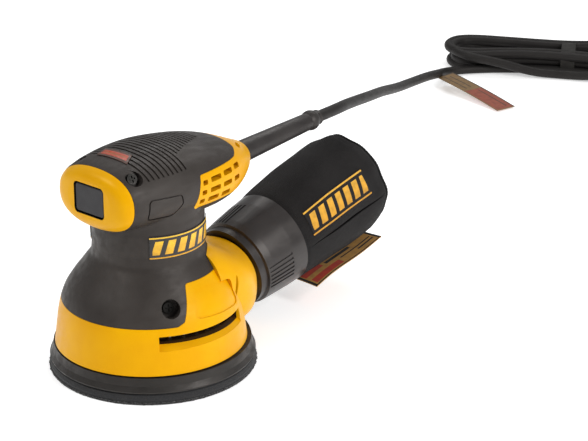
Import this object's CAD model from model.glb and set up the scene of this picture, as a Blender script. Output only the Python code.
"""Finishes, cord, dust bag and markings of a corded palm sander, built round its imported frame."""

import logging
import math
from collections.abc import Callable
from dataclasses import dataclass, field
from enum import Enum

import bpy
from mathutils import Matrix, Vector, noise


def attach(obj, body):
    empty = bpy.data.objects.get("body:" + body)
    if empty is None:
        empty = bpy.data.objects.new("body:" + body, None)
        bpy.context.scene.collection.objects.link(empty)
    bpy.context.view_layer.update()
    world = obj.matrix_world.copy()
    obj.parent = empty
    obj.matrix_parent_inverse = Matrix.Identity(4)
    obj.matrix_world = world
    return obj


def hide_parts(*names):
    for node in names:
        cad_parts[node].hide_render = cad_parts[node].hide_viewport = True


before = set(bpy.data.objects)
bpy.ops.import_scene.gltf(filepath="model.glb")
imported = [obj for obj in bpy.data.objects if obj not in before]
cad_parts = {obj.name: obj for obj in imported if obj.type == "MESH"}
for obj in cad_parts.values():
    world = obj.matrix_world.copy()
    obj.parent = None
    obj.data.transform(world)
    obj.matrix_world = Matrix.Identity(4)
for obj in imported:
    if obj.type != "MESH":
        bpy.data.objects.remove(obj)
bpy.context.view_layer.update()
LOG = logging.getLogger("sander")
Colour = tuple[float, float, float]
Point = tuple[float, float, float]
WARM = (1.0, 0.94, 0.89, 1.0)  # tint of the gloss on dark plastic
AMBER = (1.0, 0.80, 0.25, 1.0)  # tint of the gloss on yellow plastic
SHADOW = (0.006, 0.006, 0.006)
DEEP_SHADOW = (0.020, 0.009, 0.004)


# Modelling helpers ---------------------------------------------------------------------------------------

def deselect() -> None:
    """Leave nothing selected, so that an operator works on the next piece only."""
    bpy.ops.object.select_all(action="DESELECT")


def take(piece: bpy.types.Object) -> None:
    """Make a piece the only selected and active one.

    Args:
        piece: The object to work on.
    """
    deselect()
    piece.select_set(True)
    bpy.context.view_layer.objects.active = piece


def apply_modifier(piece: bpy.types.Object, kind: str, **settings: object) -> None:
    """Add a modifier with the given settings and apply it.

    Args:
        piece: The mesh to shape.
        kind: Blender's type of modifier.
        settings: Values of the modifier's properties.
    """
    take(piece)
    modifier = piece.modifiers.new(kind.title(), kind)
    for key, value in settings.items():
        setattr(modifier, key, value)
    bpy.ops.object.modifier_apply(modifier=modifier.name)


def laid_sheet(
    name: str, columns: int, rows: int, place: Callable[[float, float], Vector], thickness: float = 0.0
) -> bpy.types.Object:
    """Grid with a UV map, laid on a surface.

    Args:
        name: Name of the piece.
        columns: Divisions across the sheet.
        rows: Divisions along the sheet.
        place: Gives the point for a place (u, v) on the unit square.
        thickness: Wall given outwards, in metres; none at zero.

    Returns:
        The finished piece.
    """
    deselect()
    bpy.ops.mesh.primitive_grid_add(x_subdivisions=columns, y_subdivisions=rows, size=1.0, calc_uvs=True)
    piece = bpy.context.object
    piece.name = piece.data.name = name
    for vertex in piece.data.vertices:
        vertex.co = place(vertex.co.x + 0.5, vertex.co.y + 0.5)
    if thickness:
        apply_modifier(piece, "SOLIDIFY", thickness=thickness, offset=1.0)
    take(piece)
    bpy.ops.object.shade_smooth_by_angle(angle=math.radians(40))
    return piece


def weld(piece: bpy.types.Object, gap: float = 0.00002) -> None:
    """Join doubled points and turn the faces outwards.

    Args:
        piece: The mesh to close.
        gap: Largest distance between doubled points.
    """
    take(piece)
    bpy.ops.object.mode_set(mode="EDIT")
    bpy.ops.mesh.select_all(action="SELECT")
    bpy.ops.mesh.remove_doubles(threshold=gap)
    bpy.ops.mesh.normals_make_consistent(inside=False)
    bpy.ops.object.mode_set(mode="OBJECT")


def dress(piece: bpy.types.Object, material: bpy.types.Material) -> None:
    """Give a piece one material.

    Args:
        piece: The piece to dress.
        material: Its finish.
    """
    if not piece.material_slots:
        piece.data.materials.append(material)
    for slot in piece.material_slots:
        slot.material = material


# Finishes ------------------------------------------------------------------------------------------------

class Graph:
    """Shader graph of one finish, with short calls for the nodes that the finishes share."""

    def __init__(self, name: str, roughness: float, metallic: float = 0.0, sheen: float = 0.0) -> None:
        """Start a material.

        Args:
            name: Name of the finish.
            roughness: Even roughness, where no pattern drives it.
            metallic: One for metals.
            sheen: Fabric sheen weight.
        """
        self.material = bpy.data.materials.new(name)
        self.material.use_nodes = True
        self.tree = self.material.node_tree
        self.shader = self.tree.nodes["Principled BSDF"]
        self.shader.inputs["Roughness"].default_value = roughness
        self.shader.inputs["Metallic"].default_value = metallic
        self.shader.inputs["Sheen Weight"].default_value = sheen

    def add(self, kind: str, inputs: dict[str | int, object], **settings: object) -> bpy.types.Node:
        """Add a node.

        Args:
            kind: Node type without its prefix.
            inputs: Values or sockets for its inputs.
            settings: Values of the node's properties.

        Returns:
            The new node.
        """
        node = self.tree.nodes.new("ShaderNode" + kind)
        for key, value in settings.items():
            setattr(node, key, value)
        for key, value in inputs.items():
            if isinstance(value, bpy.types.NodeSocket):
                self.tree.links.new(value, node.inputs[key])
            else:
                node.inputs[key].default_value = value
        return node

    def coordinates(self, source: str = "Object", scale: Point = (1, 1, 1), turn: Point = (0, 0, 0)):
        """Socket with the pattern's coordinates.

        Args:
            source: Object or UV.
            scale: Stretch along each axis.
            turn: Rotation in radians.

        Returns:
            The mapped vector socket.
        """
        raw = self.add("TexCoord", {}).outputs[source]
        return self.add("Mapping", {"Vector": raw, "Scale": scale, "Rotation": turn}).outputs["Vector"]

    def noise(self, vector: bpy.types.NodeSocket, scale: float, detail: float = 3.0):
        """Socket with a noise value of about 0.3 to 0.7."""
        return self.add("TexNoise", {"Vector": vector, "Scale": scale, "Detail": detail}).outputs["Fac"]

    def calc(self, operation: str, first: object, second: object = 0.0, third: object = 0.0):
        """Socket with the result of one sum."""
        return self.add("Math", {0: first, 1: second, 2: third}, operation=operation).outputs[0]

    def spread(self, value: object, low: float, high: float, to_low: float = 0.0, to_high: float = 1.0):
        """Socket with a value moved from one range to another, and clamped."""
        inputs = {"Value": value, "From Min": low, "From Max": high, "To Min": to_low, "To Max": to_high}
        return self.add("MapRange", inputs).outputs["Result"]

    def blend(self, share: object, first: object, second: object):
        """Socket with a colour between two, given as colours or sockets."""
        node = self.add("Mix", {0: share}, data_type="RGBA")
        for socket, value in ((node.inputs[6], first), (node.inputs[7], second)):
            if isinstance(value, bpy.types.NodeSocket):
                self.tree.links.new(value, socket)
            else:
                socket.default_value = (*value, 1.0)
        return node.outputs[2]

    def raise_surface(self, height: object, distance: float, strength: float = 1.0, under: object = None):
        """Socket with the normal of a raised pattern.

        Args:
            height: Height socket from 0 to 1.
            distance: Height in metres of a full step.
            strength: Share of the effect.
            under: Normal of a pattern below this one.

        Returns:
            The normal socket.
        """
        inputs = {"Height": height, "Distance": distance, "Strength": strength}
        if under is not None:
            inputs["Normal"] = under
        return self.add("Bump", inputs).outputs["Normal"]

    def finish(self, colour: object, roughness: object = None, normal: object = None) -> bpy.types.Material:
        """Join the patterns to the shader.

        Args:
            colour: Colour socket.
            roughness: Roughness socket, if it varies.
            normal: Normal socket, if the surface is raised.

        Returns:
            The material.
        """
        for name, value in (("Base Color", colour), ("Roughness", roughness), ("Normal", normal)):
            if value is not None:
                self.tree.links.new(value, self.shader.inputs[name])
        return self.material


@dataclass(frozen=True)
class Moulded:
    """Moulded plastic or rubber: cloudy colour, fine spark-eroded grain, handling marks in the gloss."""

    name: str
    colour: Colour
    shade: Colour
    roughness: float
    marks: float = 0.08
    grain: float = 2600.0
    depth: float = 0.00006
    wave: float = 0.0
    coat: float = 0.0
    dark_box: tuple[float, ...] = ()
    dark_core: tuple[float, ...] = ()
    hidden_below: float = 0.095
    gloss: float = 0.36
    tint: tuple[float, ...] = WARM

    def make(self) -> bpy.types.Material:
        """Build the material.

        Returns:
            The finished material.
        """
        graph = Graph(self.name, self.roughness)
        graph.shader.inputs["Specular IOR Level"].default_value = self.gloss
        graph.shader.inputs["Specular Tint"].default_value = self.tint
        graph.shader.inputs["Coat Weight"].default_value = self.coat
        graph.shader.inputs["Coat Roughness"].default_value = 0.12
        place = graph.coordinates()
        cloud = graph.spread(graph.noise(place, 34.0, 5.0), 0.34, 0.66)
        colour = graph.blend(cloud, self.colour, self.shade)
        dust = graph.spread(graph.noise(place, 900.0, 2.0), 0.66, 0.78, 0.0, min(0.10, self.marks))
        colour = graph.blend(dust, colour, tuple(min(1.0, part * 1.5 + 0.02) for part in self.colour))
        if self.dark_box:
            colour = self.line_window(graph, place, colour)
        if self.dark_core:
            colour = self.shade_core(graph, place, colour)
        rubbed = graph.noise(graph.coordinates(scale=(1.0, 0.35, 1.0)), 210.0, 4.0)
        low, high = self.roughness - self.marks, self.roughness + self.marks
        rough = graph.spread(rubbed, 0.36, 0.64, low, high)
        normal = graph.raise_surface(graph.noise(place, self.grain, 2.0), self.depth)
        if self.wave:
            normal = graph.raise_surface(graph.noise(place, 55.0, 1.0), self.wave, under=normal)
        return graph.finish(colour, rough, normal)

    def line_window(self, graph: Graph, place: object, colour: object):
        """Darken the walls of the round-cornered switch window.

        Args:
            graph: Graph to build in.
            place: Coordinates of the surface.
            colour: Colour outside the window.

        Returns:
            The colour socket.
        """
        half_width, half_height, height, front, corner = self.dark_box
        parts = graph.add("SeparateXYZ", {"Vector": place})
        rise = graph.calc("SUBTRACT", parts.outputs["Z"], height)
        squares = []
        for offset, half in ((parts.outputs["X"], half_width), (rise, half_height)):
            beyond = graph.calc("SUBTRACT", graph.calc("ABSOLUTE", offset), half - corner)
            beyond = graph.calc("MAXIMUM", beyond, 0.0)
            squares.append(graph.calc("MULTIPLY", beyond, beyond))
        inside = graph.calc("LESS_THAN", graph.calc("ADD", squares[0], squares[1]), corner * corner)
        inside = graph.calc("MULTIPLY", inside, graph.calc("LESS_THAN", parts.outputs["Y"], front))
        inside = graph.calc("MAXIMUM", inside, graph.calc("LESS_THAN", parts.outputs["Z"], self.hidden_below))
        return graph.blend(inside, colour, SHADOW)

    def shade_core(self, graph: Graph, place: object, colour: object):
        """Darken what lies deep inside the shroud, behind the air slot.

        Args:
            graph: Graph to build in.
            place: Coordinates of the surface.
            colour: Colour outside the core.

        Returns:
            The colour socket.
        """
        radius, top, back = self.dark_core
        parts = graph.add("SeparateXYZ", {"Vector": place})
        across = graph.calc("MULTIPLY", parts.outputs["X"], parts.outputs["X"])
        reach = graph.calc("MULTIPLY_ADD", parts.outputs["Y"], parts.outputs["Y"], across)
        inside = graph.calc("LESS_THAN", reach, radius * radius)
        inside = graph.calc("MULTIPLY", inside, graph.calc("LESS_THAN", parts.outputs["Z"], top))
        inside = graph.calc("MULTIPLY", inside, graph.calc("LESS_THAN", parts.outputs["Y"], back))
        return graph.blend(inside, colour, DEEP_SHADOW)


@dataclass(frozen=True)
class Metal:
    """Metal with fine lines from its tool, and darker stains."""

    name: str
    colour: Colour
    shade: Colour
    roughness: float
    lines: Point = (1.0, 1.0, 12.0)
    depth: float = 0.00003

    def make(self) -> bpy.types.Material:
        """Build the material.

        Returns:
            The finished material.
        """
        graph = Graph(self.name, self.roughness, metallic=1.0)
        lines = graph.noise(graph.coordinates(scale=self.lines), 420.0, 4.0)
        stain = graph.spread(graph.noise(graph.coordinates(), 90.0, 4.0), 0.4, 0.65)
        colour = graph.blend(stain, self.colour, self.shade)
        rough = graph.spread(lines, 0.35, 0.65, self.roughness - 0.1, self.roughness + 0.12)
        return graph.finish(colour, rough, graph.raise_surface(lines, self.depth))


@dataclass(frozen=True)
class Layered:
    """Stacked or wound metal: even lines one way."""

    name: str
    colour: Colour
    gap: Colour
    pitch: float
    axis: str
    roughness: float

    def make(self) -> bpy.types.Material:
        """Build the material.

        Returns:
            The finished material.
        """
        graph = Graph(self.name, self.roughness, metallic=0.85)
        place = graph.coordinates()
        settings = {"wave_type": "BANDS", "bands_direction": self.axis}
        inputs = {"Vector": place, "Scale": 0.314 / self.pitch, "Distortion": 0.4, "Detail": 1.0}
        wave = graph.add("TexWave", inputs, **settings).outputs["Fac"]
        tone = graph.blend(graph.spread(wave, 0.15, 0.6), self.gap, self.colour)
        tone = graph.blend(graph.spread(graph.noise(place, 120.0), 0.4, 0.7, 0.0, 0.4), tone, self.gap)
        rough = graph.spread(wave, 0.0, 1.0, self.roughness + 0.15, self.roughness)
        return graph.finish(tone, rough, graph.raise_surface(wave, self.pitch * 0.4))


@dataclass(frozen=True)
class Cellular:
    """Foam or hook pile: a field of small cells."""

    name: str
    colour: Colour
    tips: Colour
    cells: float
    depth: float
    roughness: float
    sheen: float

    def make(self) -> bpy.types.Material:
        """Build the material.

        Returns:
            The finished material.
        """
        graph = Graph(self.name, self.roughness, sheen=self.sheen)
        place = graph.coordinates()
        cell = graph.add("TexVoronoi", {"Vector": place, "Scale": self.cells}).outputs["Distance"]
        fuzz = graph.noise(place, self.cells * 2.3, 4.0)
        height = graph.calc("MULTIPLY", graph.spread(cell, 0.0, 0.7, 1.0, 0.0), fuzz)
        colour = graph.blend(graph.spread(height, 0.15, 0.6), self.colour, self.tips)
        rough = graph.spread(fuzz, 0.3, 0.7, 0.75, 1.0)
        return graph.finish(colour, rough, graph.raise_surface(height, self.depth))


@dataclass(frozen=True)
class Woven:
    """Plain-weave cloth on the piece's own UV map, with slubs, lint and faded patches."""

    name: str
    colour: Colour
    faded: Colour
    threads: tuple[float, float]
    depth: float = 0.00022

    def weave(self, graph: Graph):
        """Height of an over-and-under weave.

        Args:
            graph: Graph to build in.

        Returns:
            The height socket.
        """
        across, along = self.threads
        grid = graph.coordinates("UV", scale=(across, along, 1.0))
        parts = graph.add("SeparateXYZ", {"Vector": grid})
        ridges = []
        for axis in ("X", "Y"):
            turn = graph.calc("MULTIPLY", parts.outputs[axis], math.pi)
            ridges.append(graph.calc("ABSOLUTE", graph.calc("SINE", turn)))
        over = graph.add("TexChecker", {"Vector": grid, "Scale": 1.0}).outputs["Fac"]
        warp = graph.calc("MULTIPLY", ridges[0], over)
        weft = graph.calc("MULTIPLY", ridges[1], graph.calc("SUBTRACT", 1.0, over))
        return graph.calc("ADD", warp, weft)

    def make(self) -> bpy.types.Material:
        """Build the material.

        Returns:
            The finished material.
        """
        graph = Graph(self.name, 0.9, sheen=0.04)
        graph.shader.inputs["Sheen Roughness"].default_value = 0.6
        graph.shader.inputs["Specular IOR Level"].default_value = 0.15
        weave = self.weave(graph)
        place = graph.coordinates()
        fade = graph.spread(graph.noise(place, 30.0, 6.0), 0.42, 0.68)
        colour = graph.blend(fade, self.colour, self.faded)
        lint = graph.spread(graph.noise(place, 1500.0, 2.0), 0.7, 0.8, 0.0, 0.22)
        colour = graph.blend(lint, colour, (0.2, 0.19, 0.18))
        colour = graph.blend(graph.spread(weave, 0.0, 0.5, 0.55, 0.0), colour, (0.004, 0.004, 0.004))
        creases = graph.raise_surface(graph.noise(place, 75.0, 3.0), 0.0007, 0.6)
        rough = graph.spread(weave, 0.0, 1.0, 0.98, 0.82)
        return graph.finish(colour, rough, graph.raise_surface(weave, self.depth, under=creases))


class Print(Enum):
    """Layouts of a printed panel."""

    BARRED = "slanted bars between two lines"
    BLOCKED = "blank blocks on an even field"


@dataclass(frozen=True)
class Block:
    """Blank block on a printed panel, in shares of the panel's width and height."""

    left: float
    right: float
    bottom: float
    top: float
    inked: bool = False


@dataclass(frozen=True)
class Printed:
    """Printed panel on the piece's own UV map, with blank generic shapes."""

    name: str
    layout: Print
    ground: Colour
    ink: Colour
    second: Colour
    bars: int = 7
    roughness: float = 0.5
    cloth: bool = False
    blocks: tuple[Block, ...] = ()

    def band(self, graph: Graph, value: object, low: float, high: float):
        """Mask of a value between two limits.

        Args:
            graph: Graph to build in.
            value: Socket to test.
            low: Lower limit.
            high: Upper limit.

        Returns:
            The mask socket.
        """
        above = graph.calc("GREATER_THAN", value, low)
        return graph.calc("MULTIPLY", above, graph.calc("LESS_THAN", value, high))

    def barred(self, graph: Graph, across: object, up: object):
        """Mask of slanted bars between two lines.

        Args:
            graph: Graph to build in.
            across: Share of the panel's width.
            up: Share of the panel's height.

        Returns:
            The mask socket.
        """
        slant = graph.calc("MULTIPLY_ADD", up, -0.55, graph.calc("MULTIPLY", across, float(self.bars)))
        bars = graph.calc("LESS_THAN", graph.calc("FRACT", slant), 0.62)
        bars = graph.calc("MULTIPLY", bars, self.band(graph, up, 0.2, 0.8))
        bars = graph.calc("MULTIPLY", bars, self.band(graph, across, 0.03, 0.97))
        lines = graph.calc("ADD", self.band(graph, up, 0.03, 0.09), self.band(graph, up, 0.91, 0.97))
        return graph.calc("ADD", bars, lines)

    def make(self) -> bpy.types.Material:
        """Build the material.

        Returns:
            The finished material.
        """
        graph = Graph(self.name, self.roughness, sheen=0.1 if self.cloth else 0.0)
        graph.shader.inputs["Specular IOR Level"].default_value = 0.12 if self.cloth else 0.4
        parts = graph.add("SeparateXYZ", {"Vector": graph.coordinates("UV")})
        across, up = parts.outputs["X"], parts.outputs["Y"]
        place = graph.coordinates()
        wear = graph.spread(graph.noise(place, 260.0, 5.0), 0.35, 0.7)
        if self.layout is Print.BARRED:
            mask = self.barred(graph, across, up)
            colour = graph.blend(mask, self.ground, graph.blend(up, self.second, self.ink))
        else:
            mask = self.band(graph, up, 0.0, 1.0)
            colour = graph.blend(mask, self.ground, self.ground)
            for block in self.blocks:
                columns = self.band(graph, across, block.left, block.right)
                mask = graph.calc("MULTIPLY", columns, self.band(graph, up, block.bottom, block.top))
                colour = graph.blend(mask, colour, self.ink if block.inked else self.second)
        colour = graph.blend(graph.calc("MULTIPLY", wear, 0.3), colour, (0.05, 0.045, 0.04))
        rough = graph.spread(wear, 0.0, 1.0, self.roughness - 0.1, self.roughness + 0.15)
        grain = graph.raise_surface(graph.noise(place, 1800.0, 2.0), 0.00008 if self.cloth else 0.00002)
        return graph.finish(colour, rough, graph.raise_surface(mask, 0.00012, under=grain))


FLAP_BLOCKS = (
    Block(0.05, 0.46, 0.10, 0.34, True), Block(0.04, 0.30, 0.52, 0.86, True),
    Block(0.34, 0.70, 0.50, 0.62), Block(0.72, 0.95, 0.20, 0.26),
    Block(0.50, 0.95, 0.34, 0.39), Block(0.60, 0.95, 0.74, 0.80),
    Block(0.0, 1.0, 0.0, 0.05), Block(0.0, 0.03, 0.0, 1.0), Block(0.97, 1.0, 0.0, 1.0),
)
TAG_BLOCKS = (
    Block(0.47, 0.99, 0.04, 0.94, True), Block(0.50, 0.95, 0.66, 0.71),
    Block(0.06, 0.42, 0.30, 0.36), Block(0.06, 0.40, 0.60, 0.66),
    Block(0.0, 1.0, 0.94, 1.0), Block(0.0, 0.02, 0.0, 1.0),
)
STICKER_BLOCKS = (Block(0.08, 0.92, 0.22, 0.78, True), Block(0.14, 0.86, 0.46, 0.54))


@dataclass
class Finishes:
    """Every finish of the tool, made once and kept by name."""

    made: dict[str, bpy.types.Material] = field(default_factory=dict)
    kinds: tuple = (
        Moulded("grip_rubber", (0.031, 0.0260, 0.0230), (0.021, 0.0170, 0.0150), 0.50,
                marks=0.09, depth=0.00008),
        Moulded("yellow_plastic", (0.74, 0.370, 0.0004), (0.68, 0.315, 0.0004), 0.36,
                marks=0.07, depth=0.00003, gloss=0.26, tint=AMBER,
                dark_box=(0.01216, 0.00956, 0.117, -0.030, 0.0028)),
        Moulded("shroud_plastic", (0.76, 0.380, 0.0004), (0.70, 0.325, 0.0004), 0.38,
                marks=0.07, depth=0.00004, gloss=0.26, tint=AMBER,
                dark_core=(0.0526, 0.0405, 0.050)),
        Moulded("pale_plastic", (0.72, 0.68, 0.60), (0.56, 0.52, 0.45), 0.5),
        Moulded("skirt_rubber", (0.014, 0.013, 0.012), (0.008, 0.008, 0.007), 0.62, depth=0.0001),
        Moulded("plate_rubber", (0.020, 0.018, 0.017), (0.011, 0.010, 0.009), 0.48, marks=0.12, depth=0.0001),
        Moulded("relief_rubber", (0.028, 0.025, 0.024), (0.018, 0.016, 0.016), 0.46,
                marks=0.1, depth=0.00007),
        Moulded("button_rubber", (0.016, 0.017, 0.021), (0.010, 0.010, 0.013), 0.42,
                marks=0.06, depth=0.00005),
        Moulded("collar_plastic", (0.024, 0.021, 0.021), (0.015, 0.013, 0.013), 0.33,
                marks=0.04, depth=0.00003, gloss=0.5),
        Moulded("fan_plastic", (0.020, 0.019, 0.019), (0.012, 0.012, 0.012), 0.45),
        Moulded("cord_jacket", (0.015, 0.014, 0.0135), (0.011, 0.010, 0.010), 0.55, marks=0.03, gloss=0.22),
        Moulded("carbon_block", (0.020, 0.020, 0.021), (0.034, 0.034, 0.036), 0.6, grain=1400.0),
        Metal("black_screw", (0.020, 0.019, 0.018), (0.010, 0.010, 0.009), 0.42),
        Metal("screw_steel", (0.62, 0.61, 0.60), (0.42, 0.41, 0.40), 0.28),
        Metal("cast_zinc", (0.50, 0.50, 0.51), (0.36, 0.36, 0.37), 0.5, lines=(1, 1, 1), depth=0.0001),
        Metal("sheet_brass", (0.78, 0.56, 0.25), (0.60, 0.40, 0.15), 0.3),
        Metal("turned_copper", (0.80, 0.42, 0.26), (0.55, 0.26, 0.15), 0.32),
        Layered("laminations", (0.30, 0.31, 0.33), (0.05, 0.05, 0.055), 0.0006, "Z", 0.4),
        Layered("enamelled_wire", (0.66, 0.24, 0.09), (0.12, 0.03, 0.01), 0.0007, "Z", 0.3),
        Cellular("pad_foam", (0.012, 0.012, 0.013), (0.035, 0.034, 0.035), 1500.0, 0.0003, 0.9, 0.1),
        Cellular("hook_pile", (0.010, 0.010, 0.010), (0.055, 0.05, 0.048), 1100.0, 0.0008, 0.95, 0.3),
        Woven("bag_cloth", (0.0100, 0.0085, 0.0085), (0.0150, 0.0130, 0.0128), (420.0, 190.0)),
        Printed("neck_badge", Print.BARRED, ground=(0.020, 0.018, 0.018), ink=(0.90, 0.55, 0.03),
                second=(0.72, 0.34, 0.01), roughness=0.35),
        Printed("bag_print", Print.BARRED, ground=(0.010, 0.009, 0.010), ink=(0.78, 0.42, 0.05),
                second=(0.62, 0.29, 0.03), roughness=0.8, cloth=True),
        Printed("flap_print", Print.BLOCKED, ground=(0.42, 0.215, 0.050), ink=(0.42, 0.040, 0.022),
                second=(0.012, 0.010, 0.009), roughness=0.75, cloth=True, blocks=FLAP_BLOCKS),
        Printed("tag_print", Print.BLOCKED, ground=(0.205, 0.118, 0.040), ink=(0.27, 0.060, 0.030),
                second=(0.045, 0.026, 0.012), blocks=TAG_BLOCKS),
        Printed("top_sticker", Print.BLOCKED, ground=(0.075, 0.030, 0.018), ink=(0.42, 0.050, 0.016),
                second=(0.28, 0.12, 0.03), roughness=0.35, blocks=STICKER_BLOCKS),
    )

    def __post_init__(self) -> None:
        """Build each finish."""
        for kind in self.kinds:
            self.made[kind.name] = kind.make()

    def __getitem__(self, name: str) -> bpy.types.Material:
        """Finish of a name."""
        return self.made[name]

    def coat(self, finish: str, *nodes: str) -> None:
        """Dress CAD parts in a finish.

        Args:
            finish: Name of the finish.
            nodes: Names of the parts.
        """
        for name in nodes:
            dress(bpy.data.objects[name], self.made[finish])


# Studio --------------------------------------------------------------------------------------------------

@dataclass
class Studio:
    """Camera, floor and soft lights."""

    eye: Point = (0.7825, -0.7701, 0.5332)
    tilt: float = 67.96
    heading: float = 41.0
    lens: float = 122.4
    floor_size: float = 6.0

    def place_camera(self) -> None:
        """Set the camera at the viewing angle."""
        lens = bpy.data.cameras.new("camera")
        lens.lens = self.lens
        lens.clip_end = 20.0
        camera = bpy.data.objects.new("camera", lens)
        camera.location = self.eye
        camera.rotation_euler = (math.radians(self.tilt), 0.0, math.radians(self.heading))
        bpy.context.collection.objects.link(camera)
        bpy.context.scene.camera = camera

    def lay_floor(self) -> None:
        """Lay the pale floor."""
        deselect()
        bpy.ops.mesh.primitive_plane_add(size=self.floor_size, location=(0, 0, -0.0003))
        floor = bpy.context.object
        floor.name = "floor"
        graph = Graph("floor_paper", 0.9)
        graph.shader.inputs["Emission Color"].default_value = (1.0, 1.0, 1.0, 1.0)
        graph.shader.inputs["Emission Strength"].default_value = 0.45
        grain = graph.noise(graph.coordinates(), 3.0)
        dress(floor, graph.finish(graph.blend(grain, (0.93, 0.93, 0.93), (0.90, 0.90, 0.90))))

    def add_light(self, name: str, place: Point, power: float, size: tuple[float, float]) -> None:
        """Hang one soft light that looks at the tool.

        Args:
            name: Name of the light.
            place: Where it hangs.
            power: Watts.
            size: Width and height.
        """
        lamp = bpy.data.lights.new(name, "AREA")
        lamp.shape = "RECTANGLE"
        lamp.size, lamp.size_y = size
        lamp.energy = power
        light = bpy.data.objects.new(name, lamp)
        light.location = place
        aim = Vector((0.0, 0.05, 0.05)) - Vector(place)
        light.rotation_mode = "QUATERNION"
        light.rotation_quaternion = aim.to_track_quat("-Z", "Y")
        bpy.context.collection.objects.link(light)

    def light(self) -> None:
        """Set the sky and the lights."""
        world = bpy.data.worlds.new("sky")
        world.use_nodes = True
        back = world.node_tree.nodes["Background"]
        back.inputs["Color"].default_value = (1.0, 1.0, 1.0, 1.0)
        back.inputs["Strength"].default_value = 0.40
        bpy.context.scene.world = world
        bpy.context.scene.view_settings.view_transform = "Standard"
        self.add_light("key_light", (-0.45, -0.70, 1.25), 7.4, (0.6, 0.4))
        self.add_light("side_light", (1.20, 0.15, 0.70), 12.5, (0.35, 0.8))
        self.add_light("back_light", (-0.5, 1.1, 1.2), 6.0, (1.2, 0.4))


# Mains cord ----------------------------------------------------------------------------------------------

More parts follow.
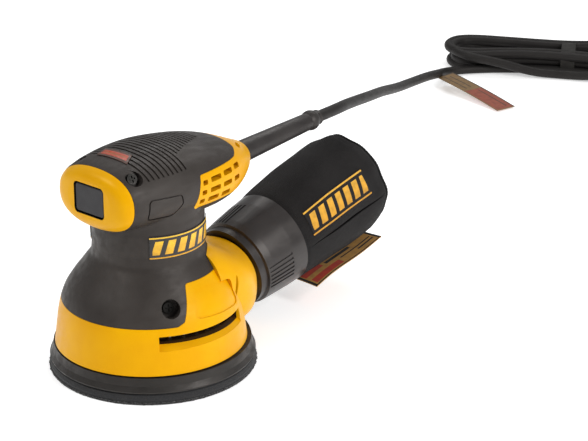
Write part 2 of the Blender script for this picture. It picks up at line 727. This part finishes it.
@dataclass
class MainsCord:
    """Mains cord: its run to the floor, the tied hank, the strap, the tag and the plug."""

    radius: float = 0.00375
    length: float = 2.40
    route: tuple[Point, ...] = (
        (0.000, 0.151, 0.1148),
        (-0.003, 0.175, 0.1136),
        (-0.018, 0.205, 0.1065),
        (-0.046, 0.262, 0.0910),
        (-0.080, 0.320, 0.0730),
        (-0.112, 0.378, 0.0540),
        (-0.141, 0.436, 0.0385),
        (-0.166, 0.488, 0.0250),
        (-0.187, 0.530, 0.0125),
        (-0.2005, 0.5575, 0.0046),
        (-0.193, 0.578, 0.0039),
    )
    hank_start: tuple[float, float] = (-0.226, 0.589)
    hank_turn: float = 32.0
    near_fold: float = 0.030
    far_fold: float = 0.142
    turns: tuple[tuple[float, float, float], ...] = (
        (0.0262, 0.0039, 0.0),
        (0.0187, 0.0041, 0.002),
        (0.0225, 0.0105, 0.006),
        (0.0262, 0.0166, -0.002),
        (0.0192, 0.0168, 0.003),
    )
    fold_angles: tuple[float, ...] = (-67.5, -22.5, 22.5, 67.5)
    fold_half_step: float = 22.5
    last_fold_swell: float = 1.082
    last_fold_points: tuple[tuple[float, float, float], ...] = (
        (-67.5, 0.0192, 0.0168), (-22.5, 0.0202, 0.0168), (22.5, 0.0225, 0.0166),
    )
    tail: tuple[Point, ...] = (
        (0.024, -0.0285, 0.0160), (0.052, -0.0300, 0.0125), (0.080, -0.0292, 0.0050),
        (0.105, -0.0290, 0.0039), (0.128, -0.0325, 0.0045), (0.142, -0.0337, 0.0080),
        (0.1515, -0.0337, 0.0090),
    )
    tie_low: float = 0.104
    tie_high: float = 0.116
    tie_start: float = -100.0
    tie_sweep: float = 425.0
    tie_lap: float = 0.0011
    tie_half_width: float = 0.0208
    tie_half_height: float = 0.0103
    tie_middle: float = 0.0106
    tie_squareness: float = 0.62
    tag_start: Point = (-0.187, 0.540, 0.0086)
    tag_end: Point = (-0.109, 0.5215, 0.0009)
    tag_width: float = 0.019
    tag_curl: float = 0.0009
    tag_cup: float = 0.0007

    def on_hank(self, along: float, across: float, up: float) -> Point:
        """Point in the hank's own frame.

        Args:
            along: Distance along the hank from its near end.
            across: Distance to its left.
            up: Height over the floor.

        Returns:
            The point in the tool's frame.
        """
        turn = math.radians(self.hank_turn)
        x = self.hank_start[0] + along * math.cos(turn) - across * math.sin(turn)
        y = self.hank_start[1] + along * math.sin(turn) + across * math.cos(turn)
        return (x, y, up)

    def turn_points(self, number: int) -> list[Point]:
        """Control points of one turn of the hank, from its near side round to the near end.

        Args:
            number: The turn, from 0.

        Returns:
            The points.
        """
        reach, height, slip = self.turns[number]
        grow = 1 / math.cos(math.radians(self.fold_half_step))
        loose = 0.0006 * math.sin(2.4 * number)
        points = [
            self.on_hank(0.060, -reach + 0.0085 + loose, height),
            self.on_hank(0.103, -reach + 0.0100 - loose, height),
        ]
        for angle in self.fold_angles:
            turn = math.radians(angle)
            along = self.far_fold - abs(slip) + reach * grow * math.cos(turn)
            points.append(self.on_hank(along, reach * grow * math.sin(turn), height))
        points.append(self.on_hank(0.112, reach - 0.0100 + loose, height))
        points.append(self.on_hank(0.066, reach - 0.0050 - loose, height))
        if number + 1 == len(self.turns):
            return points + self.last_fold()
        next_reach, next_height, _ = self.turns[number + 1]
        for step, angle in enumerate(self.fold_angles):
            turn = math.radians(angle)
            share = (step + 0.5) / len(self.fold_angles)
            arc = (reach + (next_reach - reach) * share) * grow
            along = self.near_fold + slip - arc * math.cos(turn)
            level = height + (next_height - height) * share
            points.append(self.on_hank(along, -arc * math.sin(turn), level))
        return points

    def last_fold(self) -> list[Point]:
        """Control points from the last turn, down beside the hank and out to the plug.

        Returns:
            The points.
        """
        points = []
        for angle, arc, level in self.last_fold_points:
            turn = math.radians(angle)
            arc *= self.last_fold_swell
            points.append(self.on_hank(self.near_fold - arc * math.cos(turn), -arc * math.sin(turn), level))
        return points + [self.on_hank(*point) for point in self.tail]

    def build_cord(self) -> bpy.types.Object:
        """Draw the cord as one spline.

        Returns:
            The curve.
        """
        points = list(self.route)
        for number in range(len(self.turns)):
            points.extend(self.turn_points(number))
        curve = bpy.data.curves.new("mains_cord", "CURVE")
        curve.dimensions = "3D"
        curve.bevel_depth = self.radius
        curve.bevel_resolution = 5
        curve.resolution_u = 8
        curve.use_fill_caps = True
        spline = curve.splines.new("NURBS")
        spline.points.add(len(points) - 1)
        for target, point in zip(spline.points, points):
            target.co = (*point, 1.0)
        spline.order_u = 3
        spline.use_endpoint_u = True
        spline.use_smooth = True
        cord = bpy.data.objects.new("mains_cord", curve)
        bpy.context.collection.objects.link(cord)
        return cord

    def build_tie(self) -> bpy.types.Object:
        """Wrap the strap round the hank's waist, with a lapped end.

        Returns:
            The strap.
        """
        def place(u: float, v: float) -> Vector:
            """Point of the strap: u across its width, v round the hank."""
            angle = math.radians(self.tie_start + self.tie_sweep * v)
            lap = self.tie_lap if v > 0.86 else 0.0
            cosine, sine = math.cos(angle), math.sin(angle)
            across = math.copysign(abs(cosine) ** self.tie_squareness, cosine) * (self.tie_half_width + lap)
            rise = math.copysign(abs(sine) ** self.tie_squareness, sine) * (self.tie_half_height + lap)
            up = self.tie_middle + rise
            dent = 0.0004 * math.sin(angle * 9 + u * 2)
            along = self.tie_low + (self.tie_high - self.tie_low) * u
            return Vector(self.on_hank(along, across + dent * cosine, max(0.0004, up + dent * sine)))

        return laid_sheet("hank_strap", 10, 150, place, thickness=0.0009)

    def build_tag(self) -> bpy.types.Object:
        """Fold the blank tag round the cord and let its tail run to the floor.

        Returns:
            The tag.
        """
        start, end = Vector(self.tag_start), Vector(self.tag_end)
        along = end - start
        across = Vector((0, 0, 1)).cross(along).normalized()
        rise = along.normalized().cross(across)

        def place(u: float, v: float) -> Vector:
            """Point of the tag: u along its length, v across it."""
            curl = self.tag_curl * math.sin(math.pi * u)
            side = (v - 0.5) * self.tag_width
            cup = self.tag_cup * (4 * (v - 0.5) ** 2) * (1 - u)
            point = start + along * u + across * side + rise * (curl + cup)
            return Vector((point.x, point.y, max(0.0006, point.z)))

        return laid_sheet("cord_label", 60, 14, place, thickness=0.0005)

    def build(self, finishes: Finishes) -> None:
        """Make the cord and the pieces on it.

        Args:
            finishes: The tool's finishes.
        """
        cord = self.build_cord()
        dress(cord, finishes["cord_jacket"])
        tie = self.build_tie()
        dress(tie, finishes["skirt_rubber"])
        tag = self.build_tag()
        dress(tag, finishes["tag_print"])
        for piece, slot in ((cord, "cord_jacket"), (tie, "cord_jacket"), (tag, "label_cloth")):
            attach(piece, "housing")
        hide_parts("cord_tie")
        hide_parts("cord_tag")
        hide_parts("cord_tube", "cord_hank")
        finishes.coat("relief_rubber", "strain_relief", "plug")
        finishes.coat("sheet_brass", "plug_blades")
        finishes.coat("cord_jacket", "cord_jacket", "lead_wires")
        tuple(self.route[0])
        LOG.info("cord, hank, strap and tag made")


# Dust bag ------------------------------------------------------------------------------------------------

@dataclass
class DustBag:
    """Cloth bag on its collar: shell, end seam, printed patch and warning flap."""

    pitch: float = 12.0
    mouth: Point = (0.0, 0.068, 0.037)
    start: float = 0.0404
    end: float = 0.1235
    profile: tuple[tuple[float, float], ...] = (
        (0.0404, 0.0304), (0.0430, 0.0311), (0.0500, 0.0316), (0.0650, 0.0326),
        (0.0850, 0.0334), (0.1030, 0.0338), (0.1120, 0.0337), (0.1170, 0.0327),
        (0.1205, 0.0305), (0.1222, 0.0270), (0.1230, 0.0180), (0.1235, 0.0),
    )
    wall: float = 0.0009
    taut_run: float = 0.030
    fold_depth: float = 0.0011
    pleat_depth: float = 0.0004
    pucker_at: float = 0.116
    pucker_spread: float = 0.012
    seam_share: float = 0.722
    seam_radius: float = 0.0010
    flap_height: float = -0.0320
    patch_angles: tuple[float, float] = (10.0, 41.0)
    patch_reach: tuple[float, float] = (0.0480, 0.1040)
    flap_side: tuple[float, float] = (0.0070, 0.0285)
    flap_reach: tuple[float, float] = (0.046, 0.113)

    def on_duct(self, across: float, rise: float, along: float) -> Vector:
        """Point in the duct's frame.

        Args:
            across: Distance to the right.
            rise: Distance over the duct's axis.
            along: Distance along the axis from the duct's mouth.

        Returns:
            The point in the tool's frame.
        """
        tilt = math.radians(self.pitch)
        y = self.mouth[1] + along * math.cos(tilt) - rise * math.sin(tilt)
        z = self.mouth[2] + along * math.sin(tilt) + rise * math.cos(tilt)
        return Vector((across, y, z))

    def outline(self, share: float) -> tuple[float, float]:
        """Distance along the bag and its radius, for a share of its side's length.

        Args:
            share: From 0 at the mouth to 1 at the middle of the end.

        Returns:
            Distance along and radius.
        """
        runs = [math.dist(a, b) for a, b in zip(self.profile, self.profile[1:])]
        want = share * sum(runs)
        for run, first, second in zip(runs, self.profile, self.profile[1:]):
            if want <= run:
                part = want / run
                return tuple(a + (b - a) * part for a, b in zip(first, second))
            want -= run
        return self.profile[-1]

    def surface(self, angle: float, share: float, lift: float = 0.0) -> Vector:
        """Point of the cloth.

        Args:
            angle: Degrees round the axis, 0 to the right and 90 on top.
            share: Share of the side's length from the mouth.
            lift: Distance outwards from the cloth.

        Returns:
            The point.
        """
        along, radius = self.outline(share)
        turn = math.radians(angle)
        inside = min(1.0, max(0.0, (along - self.start) / self.taut_run))
        fullness = math.sin(math.pi * min(1.0, max(0.0, (along - self.start) / (self.end - self.start))))
        fold = noise.noise(Vector((math.cos(turn) * 2.2, math.sin(turn) * 2.2, along * 38)))
        pleat = 0.35 * math.sin(turn * 24 + along * 90) * (1 - inside)
        pleat += 0.25 * math.sin(turn * 5 + along * 60)
        edge = 1.0 if radius > 0.025 else radius / 0.025
        radius += edge * fullness ** 0.5 * (self.fold_depth * fold + self.pleat_depth * pleat)
        pucker = math.exp(-((along - self.pucker_at) / self.pucker_spread) ** 2) * edge
        radius += pucker * (0.0006 * math.cos(turn * 7 + 0.6) + 0.0004 * math.cos(turn * 11))
        radius += lift
        sag = -0.0012 * fullness if math.sin(turn) < 0 else 0.0006 * fullness
        droop = 0.0014 * inside
        rise = radius * math.sin(turn) + sag + droop
        return self.on_duct(radius * math.cos(turn), rise, along + lift * (1 - edge))

    def build_shell(self) -> bpy.types.Object:
        """Make the cloth shell.

        Returns:
            The bag.
        """
        bag = laid_sheet("cloth_bag", 180, 110, lambda u, v: self.surface(360 * u, v))
        weld(bag)
        apply_modifier(bag, "SOLIDIFY", thickness=self.wall, offset=-1.0)
        take(bag)
        bpy.ops.object.shade_smooth_by_angle(angle=math.radians(50))
        return bag

    def build_rim(self) -> bpy.types.Object:
        """Make the corded seam round the far end.

        Returns:
            The seam.
        """
        def place(u: float, v: float) -> Vector:
            """Point of the seam: u round the bag, v round the seam's own section."""
            angle = 360 * u
            turn = 2 * math.pi * v
            twist = 1 + 0.07 * math.sin(angle * math.pi / 180 * 90)
            lift = 0.0001 + self.seam_radius * twist * math.cos(turn)
            core = self.surface(angle, self.seam_share, lift)
            forward = self.on_duct(0, 0, 1) - self.on_duct(0, 0, 0)
            return core + forward * (-0.0011 * twist * math.sin(turn))

        rim = laid_sheet("bag_end_seam", 360, 10, place)
        weld(rim)
        return rim

    def build_patch(self) -> bpy.types.Object:
        """Make the printed patch on the bag's side.

        Returns:
            The patch.
        """
        total = sum(math.dist(a, b) for a, b in zip(self.profile, self.profile[1:]))
        low, high = (reach - self.start for reach in self.patch_reach)
        bottom, top = self.patch_angles

        def place(u: float, v: float) -> Vector:
            """Point of the patch: u along the bag, v up its side."""
            share = (low + (high - low) * u) / total
            return self.surface(bottom + (top - bottom) * v, share, 0.0002)

        return laid_sheet("bag_patch", 60, 30, place, thickness=0.00025)

    def build_flap(self) -> bpy.types.Object:
        """Make the sewn flap under the bag.

        Returns:
            The flap.
        """
        def place(u: float, v: float) -> Vector:
            """Point of the flap: u along the bag, v from the seam outwards."""
            along = self.flap_reach[0] + (self.flap_reach[1] - self.flap_reach[0]) * u
            across = self.flap_side[1] + (self.flap_side[0] - self.flap_side[1]) * v
            wave = 0.0007 * math.sin(7 * u) * (1 - v) + 0.0006 * math.sin(3.3 * u + 2 * v)
            return self.on_duct(across, self.flap_height + wave, along)

        return laid_sheet("bag_flap", 60, 20, place, thickness=0.0006)

    def build(self, finishes: Finishes) -> None:
        """Make the bag and the pieces on it.

        Args:
            finishes: The tool's finishes.
        """
        shell, rim, patch, flap = self.build_shell(), self.build_rim(), self.build_patch(), self.build_flap()
        looks = (
            (shell, "bag_cloth", "bag_cloth"),
            (rim, "bag_cloth", "bag_cloth"),
            (patch, "bag_print", "label_cloth"),
            (flap, "flap_print", "label_cloth"),
        )
        for piece, finish, slot in looks:
            dress(piece, finishes[finish])
            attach(piece, "bag")
        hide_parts("dust_bag")
        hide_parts("bag_label")
        runs = list(zip(self.profile, self.profile[1:]))
        side = sum(math.dist(a, b) for a, b in runs)
        girth = 2 * math.pi * max(radius for _, radius in self.profile)
        area = sum(math.pi * (a[1] + b[1]) * math.dist(a, b) for a, b in runs)
        finishes.coat("collar_plastic", "bag_collar", "bag_ring")
        finishes.coat("skirt_rubber", "collar_seal")
        LOG.info("dust bag, seam, patch and flap made")


# Housing -------------------------------------------------------------------------------------------------

@dataclass
class Housing:
    """Finishes of the housing, the neck badges and the sticker on top."""

    neck_radius: float = 0.0335
    neck_y: float = -0.0012
    badge_low: float = 0.0795
    badge_high: float = 0.0935
    badge_angles: tuple[float, float] = (-44.0, 50.0)
    sticker_corners: tuple[tuple[float, float], ...] = (
        (-0.0119, -0.0299), (0.0132, -0.0294), (0.0080, -0.0200), (-0.0137, -0.0205),
    )

    def build_badge(self, name: str, side: int) -> bpy.types.Object:
        """Make one badge round the neck.

        Args:
            name: Name of the piece.
            side: 1 for the right side and -1 for the left.

        Returns:
            The badge.
        """
        first, last = self.badge_angles

        def place(u: float, v: float) -> Vector:
            """Point of the badge: u round the neck, v up it."""
            angle = math.radians(first + (last - first) * u)
            if side < 0:
                angle = math.pi - math.radians(last + (first - last) * u)
            crown = 0.0003 + 0.0002 * (1 - (2 * v - 1) ** 4)
            radius = self.neck_radius + crown
            z = self.badge_low + (self.badge_high - self.badge_low) * v
            return Vector((radius * math.cos(angle), self.neck_y + radius * math.sin(angle), z))

        return laid_sheet(name, 60, 10, place, thickness=0.0003)

    def top_of_grip(self, x: float, y: float) -> float:
        """Height of the grip's surface, bridging its ribs.

        Args:
            x: Distance to the right.
            y: Distance to the back.

        Returns:
            The height.
        """
        best = 0.12
        for step in (-0.0014, -0.0007, 0.0, 0.0007, 0.0014):
            for name in ("grip_right", "grip_left", "shell_right", "shell_left"):
                hit, point, _, _ = bpy.data.objects[name].ray_cast((x, y + step, 0.2), (0, 0, -1))
                if hit:
                    best = max(best, point.z)
        return best

    def build_sticker(self) -> bpy.types.Object:
        """Make the blank sticker on top of the grip.

        Returns:
            The sticker.
        """
        front_left, front_right, back_right, back_left = (Vector(corner) for corner in self.sticker_corners)

        def place(u: float, v: float) -> Vector:
            """Point of the sticker: u to the right, v to the back."""
            front = front_left.lerp(front_right, u)
            spot = front.lerp(back_left.lerp(back_right, u), v)
            return Vector((spot.x, spot.y, self.top_of_grip(spot.x, spot.y) + 0.0001))

        sticker = laid_sheet("top_sticker", 30, 14, place)
        apply_modifier(sticker, "SMOOTH", factor=0.5, iterations=4)
        apply_modifier(sticker, "SOLIDIFY", thickness=0.0003, offset=1.0)
        return sticker

    def build(self, finishes: Finishes) -> None:
        """Dress the housing and add its markings.

        Args:
            finishes: The tool's finishes.
        """
        finishes.coat("grip_rubber", "grip_right", "grip_left")
        finishes.coat("yellow_plastic", "shell_right", "shell_left")
        finishes.coat("shroud_plastic", "shroud")
        finishes.coat("pale_plastic", "air_baffle", "brush_caps", "bearing_plate", "upper_bracket",
                      "cord_clamp")
        finishes.coat("skirt_rubber", "brake_skirt", "switch_seal")
        finishes.coat("button_rubber", "switch_button")
        finishes.coat("fan_plastic", "switch_body")
        finishes.coat("black_screw", "shell_screws")
        finishes.coat("screw_steel", "lower_bearing", "upper_bearing", "brush_springs")
        finishes.coat("laminations", "field_core")
        finishes.coat("enamelled_wire", "field_coils")
        finishes.coat("sheet_brass", "brush_holders")
        finishes.coat("carbon_block", "brushes")
        for name, side in (("neck_badge_right", 1), ("neck_badge_left", -1)):
            badge = self.build_badge(name, side)
            dress(badge, finishes["neck_badge"])
            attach(badge, "housing")
        sticker = self.build_sticker()
        dress(sticker, finishes["top_sticker"])
        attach(sticker, "housing")
        LOG.info("housing dressed, badges and sticker made")


@dataclass
class Pad:
    """Finishes of the rotor and the pad, and the frayed edge of the hook face."""

    radius: float = 0.0622
    tufts: int = 540
    low: float = 0.0001
    high: float = 0.0014

    def build_fringe(self) -> bpy.types.Object:
        """Make the frayed edge of the hook face.

        Returns:
            The fringe.
        """
        def place(u: float, v: float) -> Vector:
            """Point of the fringe: u round the pad, v round its section."""
            angle = 2 * math.pi * u
            turn = 2 * math.pi * v
            fray = noise.noise(Vector((math.cos(angle) * 60, math.sin(angle) * 60, v * 3)))
            radius = self.radius + 0.0002 + (0.0004 + 0.0009 * fray) * math.cos(turn)
            z = (self.low + self.high) / 2 + (self.high - self.low) / 2 * math.sin(turn) * (1 + 0.5 * fray)
            return Vector((radius * math.cos(angle), radius * math.sin(angle), max(0.00005, z)))

        fringe = laid_sheet("hook_fringe", self.tufts, 6, place)
        weld(fringe)
        return fringe

    def build(self, finishes: Finishes) -> None:
        """Dress the moving parts and add the fringe.

        Args:
            finishes: The tool's finishes.
        """
        finishes.coat("hook_pile", "pad_hook_face")
        finishes.coat("pad_foam", "pad_foam")
        finishes.coat("plate_rubber", "pad_plate")
        finishes.coat("screw_steel", "spindle", "pad_screws", "spindle_bearing", "armature_shaft")
        finishes.coat("cast_zinc", "counterweight")
        finishes.coat("fan_plastic", "cooling_fan")
        finishes.coat("laminations", "armature_core")
        finishes.coat("enamelled_wire", "armature_windings")
        finishes.coat("turned_copper", "commutator")
        fringe = self.build_fringe()
        dress(fringe, finishes["hook_pile"])
        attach(fringe, "pad")
        LOG.info("pad and rotor dressed, fringe made")


def main() -> None:
    """Build the sander's looks in order."""
    logging.basicConfig(level=logging.INFO, format="%(name)s: %(message)s")
    studio = Studio()
    studio.place_camera()
    finishes = Finishes()
    MainsCord().build(finishes)
    studio.lay_floor()
    studio.light()
    DustBag().build(finishes)
    Housing().build(finishes)
    Pad().build(finishes)


if __name__ == "__main__":
    main()
